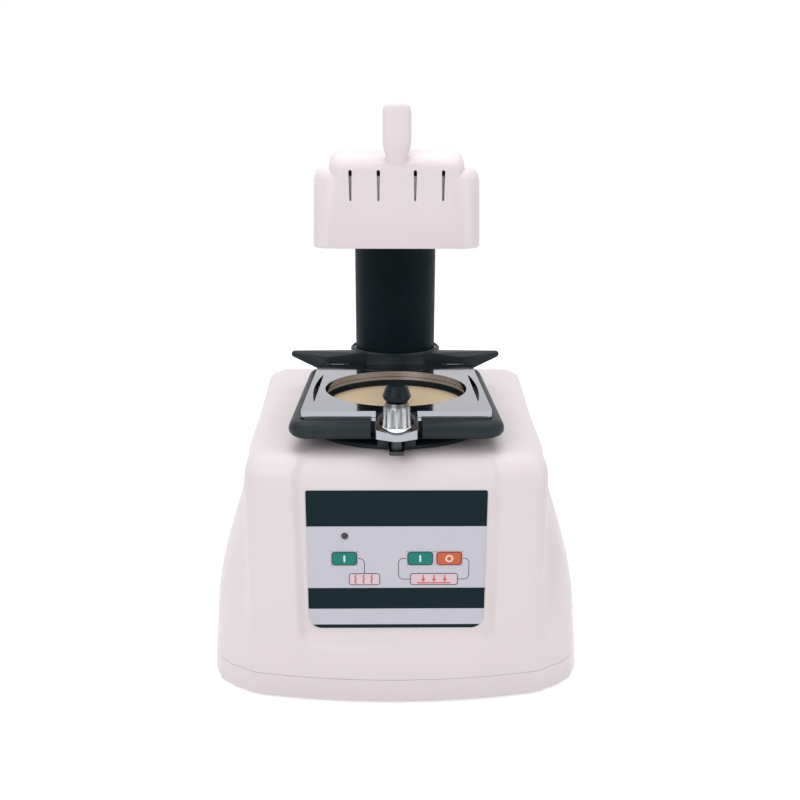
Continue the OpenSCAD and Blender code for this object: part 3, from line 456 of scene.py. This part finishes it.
# raises a flat shape from the drawing plane and turns it to face the front
def standUp(bm, depth):
    made = bmesh.ops.extrude_face_region(bm, geom=bm.faces[:])
    moved = [v for v in made["geom"] if isinstance(v, bmesh.types.BMVert)]
    bmesh.ops.translate(bm, vec=(0, 0, depth * mm), verts=moved)
    bmesh.ops.recalc_face_normals(bm, faces=bm.faces)
    bmesh.ops.rotate(bm, cent=(0, 0, 0), matrix=Matrix.Rotation(math.radians(90), 3, "X"), verts=bm.verts)
    return moved


# where the print lies, and how thick one layer of it is
panel = {
    "face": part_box("control_label")[0].y / mm,
    "keyFace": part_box("heat_on_key")[0].y / mm,
    "film": 0.05,
}


def printed(name, bm, x, z, material, body="base", face=None, lift=1):
    standUp(bm, panel["film"] * lift)
    front = panel["face"] if face is None else face
    bmesh.ops.translate(bm, vec=(x * mm, front * mm, z * mm), verts=bm.verts)
    return newPiece(name, bm, material, body)


# a band of even width that goes straight or round a bend: each step is a distance, or a turn and its radius
def ribbon(start, heading, steps, width):
    bm = bmesh.new()
    x, y, angle = start[0] * mm, start[1] * mm, math.radians(heading)
    side = Vector((-math.sin(angle), math.cos(angle), 0)) * width * mm / 2
    front = [bm.edges.new([bm.verts.new(Vector((x, y, 0)) + side * k) for k in (-1, 1)])]
    for step in steps:
        ahead = Vector((math.cos(angle), math.sin(angle), 0))
        if isinstance(step, tuple):
            turn, radius = math.radians(step[0]), step[1] * mm
            left = Vector((-ahead.y, ahead.x, 0)) * (1 if turn > 0 else -1)
            centre = Vector((x, y, 0)) + left * radius
            made = bmesh.ops.spin(
                bm, geom=front, cent=centre, axis=(0, 0, 1), dvec=(0, 0, 0), angle=turn, steps=8,
                use_merge=False, use_normal_flip=False, use_duplicate=False,
            )["geom_last"]
            front = [e for e in made if isinstance(e, bmesh.types.BMEdge)]
            spot = centre + Matrix.Rotation(turn, 3, "Z") @ (Vector((x, y, 0)) - centre)
            x, y, angle = spot.x, spot.y, angle + turn
        else:
            made = bmesh.ops.extrude_edge_only(bm, edges=front)["geom"]
            moved = [v for v in made if isinstance(v, bmesh.types.BMVert)]
            bmesh.ops.translate(bm, vec=ahead * step * mm, verts=moved)
            front = [e for e in made if isinstance(e, bmesh.types.BMEdge)]
            x, y = x + ahead.x * step * mm, y + ahead.y * step * mm
    bmesh.ops.recalc_face_normals(bm, faces=bm.faces)
    return bm


# rounded keys behind the film's windows, each with a dark line along its rim and its sign in the middle
keys = {
    "corner": 2.6, "soft": 0.15, "plate": 3.2, "stemRadius": 3.0, "line": 0.5, "rimGap": 0.25,
    "surround": 0.8, "surroundGap": 0.06, "stroke": 1.35, "tall": 5.4, "barCorner": 0.4, "ring": 2.9,
    "ringStroke": 1.08,
}


def softKey(node, material):
    low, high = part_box(node)
    wide, tall = (high.x - low.x) / mm, (high.z - low.z) / mm
    bm = flatShape(wide, tall, keys["corner"], 6)
    top = standUp(bm, keys["plate"])
    rim = [e for e in bm.edges if all(v in top for v in e.verts)]
    bmesh.ops.bevel(
        bm, geom=rim, offset=keys["soft"] * mm, segments=3, profile=0.5, affect="EDGES", material=-1
    )
    midX, midZ = (low.x + high.x) / 2, (low.z + high.z) / 2
    front = min(v.co.y for v in bm.verts)
    bmesh.ops.translate(bm, vec=(midX, low.y - front, midZ), verts=bm.verts)
    stem = bmesh.new()
    deep = high.y - low.y - keys["plate"] * mm
    radius = keys["stemRadius"] * mm
    bmesh.ops.create_cone(stem, cap_ends=True, segments=32, radius1=radius, radius2=radius, depth=deep)
    quarter = Matrix.Rotation(math.radians(90), 3, "X")
    bmesh.ops.rotate(stem, cent=(0, 0, 0), matrix=quarter, verts=stem.verts)
    bmesh.ops.translate(stem, vec=(midX, high.y - deep / 2, midZ), verts=stem.verts)
    whole = joined([bm, stem])
    smoothEdges(whole, 35)
    piece = newPiece(node + "Shown", whole, material, node)
    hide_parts(node)
    x, z = midX / mm, midZ / mm
    inset = keys["rimGap"] * 2
    line = outlined(flatShape(wide - inset, tall - inset, keys["corner"] - keys["rimGap"], 6), keys["line"])
    printed(node + "Line", line, x, z, finish["line"], node, panel["keyFace"])
    grow = (keys["surroundGap"] + keys["surround"]) * 2
    around = flatShape(wide + grow, tall + grow, keys["corner"] + grow / 2, 6)
    printed(node + "Surround", outlined(around, keys["surround"]), x, z, finish["label"])
    return x, z


def barSign():
    return flatShape(keys["stroke"], keys["tall"], keys["barCorner"])


def ringSign():
    return ringMark(keys["ring"], keys["ringStroke"])


for node, material, sign, ink in (
    ("heat_on_key", "green", barSign, "mark"),
    ("vacuum_on_key", "green", barSign, "mark"),
    ("vacuum_off_key", "orange", ringSign, "cream"),
):
    keyX, keyZ = softKey(node, finish[material])
    printed(node + "Sign", sign(), keyX, keyZ, finish[ink], node, panel["keyFace"])
print("keys done")

# pale fields under the keys: heat waves, and air drawn down through a plate
fields = {
    "heatX": -23.8, "heatW": 23.2, "vacuumX": 27.9, "vacuumW": 35.6, "z": 102.6, "tall": 9.7,
    "corner": 2.1, "line": 0.58, "fillGap": 0.3,
}
signs = {
    "waveStep": 6, "waveTurn": 42, "waveRadius": 1.35, "waveLine": 1.0, "waveFoot": (-0.35, -3.6),
    "arrowStep": 8, "shaft": (0.9, 3.0), "shaftUp": 1.9, "tip": 1.9, "tipDown": -0.5,
    "plate": (25, 1.0, 0.3), "plateDown": -3.1,
}


def field(name, x, width):
    fill = flatShape(width - fields["fillGap"], fields["tall"] - fields["fillGap"], fields["corner"])
    printed(name + "Fill", fill, x, fields["z"], finish["blush"])
    edge = outlined(flatShape(width, fields["tall"], fields["corner"]), fields["line"])
    printed(name + "Edge", edge, x, fields["z"], finish["line"], lift=1.6)


# an upright wave: bends to the left and right in turn
def wave(x):
    turn, radius = signs["waveTurn"], signs["waveRadius"]
    bends = [(turn * k, radius) for k in (1, -2, 2, -2, 1)]
    return ribbon((x + signs["waveFoot"][0], signs["waveFoot"][1]), 90, bends, signs["waveLine"])


def arrowDown(x):
    tip = bmesh.new()
    bmesh.ops.create_circle(tip, segments=3, radius=signs["tip"] * mm, cap_ends=True)
    half = Matrix.Rotation(math.radians(180), 3, "Z")
    bmesh.ops.rotate(tip, cent=(0, 0, 0), matrix=half, verts=tip.verts)
    shaft = shifted(flatShape(*signs["shaft"], 0), x, signs["shaftUp"])
    return joined([shaft, shifted(tip, x, signs["tipDown"])])


field("heatField", fields["heatX"], fields["heatW"])
field("vacuumField", fields["vacuumX"], fields["vacuumW"])
waves = [wave(k * signs["waveStep"]) for k in (-1, 0, 1)]
printed("heatSign", joined(waves), fields["heatX"], fields["z"], finish["red"], lift=2)
arrows = [arrowDown(k * signs["arrowStep"]) for k in (-1, 0, 1)]
plate = shifted(flatShape(*signs["plate"]), 0, signs["plateDown"])
printed("vacuumSign", joined(arrows + [plate]), fields["vacuumX"], fields["z"], finish["red"], lift=2)

# thin lines from the keys to their fields: start, heading, and the straight first and last runs
leads = {
    "width": 0.52, "bend": 3.6,
    "heat": (-28.4, 0, 1.0), "left": (7.3, 180, 2.2, 5.1), "right": (49.2, 0, 0.9, 4.4),
}
drop = keyZ - fields["z"]
x, heading, first = leads["heat"]
down = [first, (-90, leads["bend"]), drop - leads["bend"] - fields["tall"] / 2]
printed("heatLead", ribbon((x, keyZ), heading, down, leads["width"]), 0, 0, finish["line"])
for name, side, turn in (("vacuumLeadLeft", "left", 90), ("vacuumLeadRight", "right", -90)):
    x, heading, first, last = leads[side]
    bend = (turn, leads["bend"])
    steps = [first, bend, drop - 2 * leads["bend"], bend, last]
    printed(name, ribbon((x, keyZ), heading, steps, leads["width"]), 0, 0, finish["line"])
print("panel print done")

# rear fittings: contact pins in the inlet, and a bar and a ring on the switch
rear = {
    "inletX": -52, "switchX": -8, "z": 62, "wall": 153, "pin": (2, 15.5, 4), "pinDeep": 8.5, "pinSoft": 0.5,
    "pins": [(-7, -1.5), (0, 2), (7, -1.5)], "pivot": 2, "tilt": 8,
    "halfTall": 10.5, "waist": 0.8, "rise": 1.7,
    "signThick": 0.06, "signUp": 5.6, "bar": (1.0, 4.6, 0.3), "ring": (2.3, 0.9),
}
for index, (dx, dz) in enumerate(rear["pins"]):
    bm = bmesh.new()
    bmesh.ops.create_cube(bm, size=1)
    bmesh.ops.scale(bm, vec=Vector(rear["pin"]) * mm, verts=bm.verts)
    spot = Vector((rear["inletX"] + dx, rear["wall"] - rear["pinDeep"], rear["z"] + dz))
    bmesh.ops.translate(bm, vec=spot * mm, verts=bm.verts)
    soft = rear["pinSoft"] * mm
    bmesh.ops.bevel(
        bm, geom=bm.edges[:], offset=soft, segments=2, profile=0.5, affect="EDGES", material=-1
    )
    newPiece("inletPin%d" % (index + 1), bm, finish["steel"], "base")


# lays a sign on one half of the rocker, which leans by the half's own slope on top of the tilt
def rockerSign(name, bm, along):
    standUp(bm, rear["signThick"])
    slope = math.atan2(rear["rise"], rear["halfTall"])
    lean = math.radians(rear["tilt"]) - math.copysign(slope, along)
    for angle, axis in ((math.radians(180), "Z"), (lean, "X")):
        bmesh.ops.rotate(bm, cent=(0, 0, 0), matrix=Matrix.Rotation(angle, 3, axis), verts=bm.verts)
    tilt = Matrix.Rotation(math.radians(rear["tilt"]), 3, "X")
    spot = tilt @ Vector((0, rear["waist"] + rear["rise"] * abs(along) / rear["halfTall"], along))
    place = Vector((rear["switchX"], rear["wall"] - rear["pivot"], rear["z"])) + spot
    bmesh.ops.translate(bm, vec=place * mm, verts=bm.verts)
    newPiece(name, bm, finish["mark"], "power_rocker")


rockerSign("switchOnSign", flatShape(*rear["bar"]), rear["signUp"])
rockerSign("switchOffSign", ringMark(*rear["ring"]), -rear["signUp"])
print("rear fittings done")

# cross recesses of the base screws, which show from below: thin black crosses laid on the heads as painted
# shade for the recesses
crossShade = {"x": (-126, 126), "y": (-88, 104), "reach": 4.6, "width": 0.9, "corner": 0.2, "thick": 0.05}
crossShadeArms = []
for spotX in crossShade["x"]:
    for spotY in crossShade["y"]:
        for size in ((crossShade["reach"], crossShade["width"]), (crossShade["width"], crossShade["reach"])):
            crossShadeArms.append(shifted(flatShape(*size, crossShade["corner"], 2), spotX, spotY))
bm = joined(crossShadeArms)
# painted shade: the black crosses reach 0.05 mm below the screw heads
made = bmesh.ops.extrude_face_region(bm, geom=bm.faces[:])
moved = [v for v in made["geom"] if isinstance(v, bmesh.types.BMVert)]
bmesh.ops.translate(bm, vec=(0, 0, -crossShade["thick"] * mm), verts=moved)
bmesh.ops.recalc_face_normals(bm, faces=bm.faces)
bmesh.ops.translate(bm, vec=(0, 0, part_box("base_screws")[0].z), verts=bm.verts)
newPiece("base_screwsRecessShade", bm, finish["moulding"], bodyOf("base_screws"))
print("screw recesses done")

# a pale floor that shows white where nothing shades it, with the same white behind
studio = {"floorSize": 6.0, "floorTone": 0.9, "lift": 0.53, "world": 0.52}


def studioFloor():
    bm = bmesh.new()
    bmesh.ops.create_grid(bm, x_segments=1, y_segments=1, size=studio["floorSize"])
    mesh = bpy.data.meshes.new("floor")
    bm.to_mesh(mesh)
    bm.free()
    floor = bpy.data.objects.new("floor", mesh)
    bpy.context.scene.collection.objects.link(floor)
    material = bpy.data.materials.new("floorWhite")
    material.use_nodes = True
    nodes, links = material.node_tree.nodes, material.node_tree.links
    plain = nodes["Principled BSDF"]
    plain.inputs["Base Color"].default_value = tone(*[studio["floorTone"]] * 3)
    plain.inputs["Roughness"].default_value = 0.9
    plain.inputs["Specular IOR Level"].default_value = 0.0
    glow = nodes.new("ShaderNodeEmission")
    links.new(cameraSees(nodes, links, studio["lift"]), glow.inputs["Strength"])
    both = nodes.new("ShaderNodeAddShader")
    links.new(plain.outputs[0], both.inputs[0])
    links.new(glow.outputs[0], both.inputs[1])
    links.new(both.outputs[0], nodes["Material Output"].inputs[0])
    mesh.materials.append(material)


# how much of the white shows to the camera, to shiny surfaces and through clear ones
def cameraSees(nodes, links, amount):
    path = nodes.new("ShaderNodeLightPath")
    seen = path.outputs["Is Camera Ray"]
    for name in ("Is Glossy Ray", "Is Transmission Ray"):
        most = nodes.new("ShaderNodeMath")
        most.operation = "MAXIMUM"
        links.new(seen, most.inputs[0])
        links.new(path.outputs[name], most.inputs[1])
        seen = most.outputs[0]
    scaled = nodes.new("ShaderNodeMath")
    scaled.operation = "MULTIPLY"
    scaled.inputs[1].default_value = amount
    links.new(seen, scaled.inputs[0])
    return scaled.outputs[0]


def studioWorld():
    world = bpy.data.worlds.new("studio")
    bpy.context.scene.world = world
    world.use_nodes = True
    nodes, links = world.node_tree.nodes, world.node_tree.links
    plain = nodes["Background"]
    plain.inputs[0].default_value = (1, 1, 1, 1)
    plain.inputs[1].default_value = studio["world"]
    white = nodes.new("ShaderNodeBackground")
    white.inputs[0].default_value = (1, 1, 1, 1)
    white.inputs[1].default_value = 1.0
    blend = nodes.new("ShaderNodeMixShader")
    links.new(cameraSees(nodes, links, 1.0), blend.inputs[0])
    links.new(plain.outputs[0], blend.inputs[1])
    links.new(white.outputs[0], blend.inputs[2])
    links.new(blend.outputs[0], nodes["World Output"].inputs[0])


def softLight(name, place, aim, size, power):
    data = bpy.data.lights.new(name, "AREA")
    data.shape = "RECTANGLE"
    data.size, data.size_y = size
    data.energy = power
    lamp = bpy.data.objects.new(name, data)
    lamp.location = place
    lamp.rotation_euler = (Vector(aim) - Vector(place)).to_track_quat("-Z", "Y").to_euler()
    bpy.context.scene.collection.objects.link(lamp)


studioFloor()
studioWorld()
softLight("topLight", (0.0, 0.1, 1.7), (0, 0, 0.2), (1.6, 1.6), 19)
softLight("frontLight", (-0.9, -1.6, 1.2), (0, 0, 0.2), (1.2, 1.0), 12)
softLight("rightLight", (1.4, -0.9, 0.8), (0, 0, 0.2), (0.8, 1.2), 4)
print("studio done")
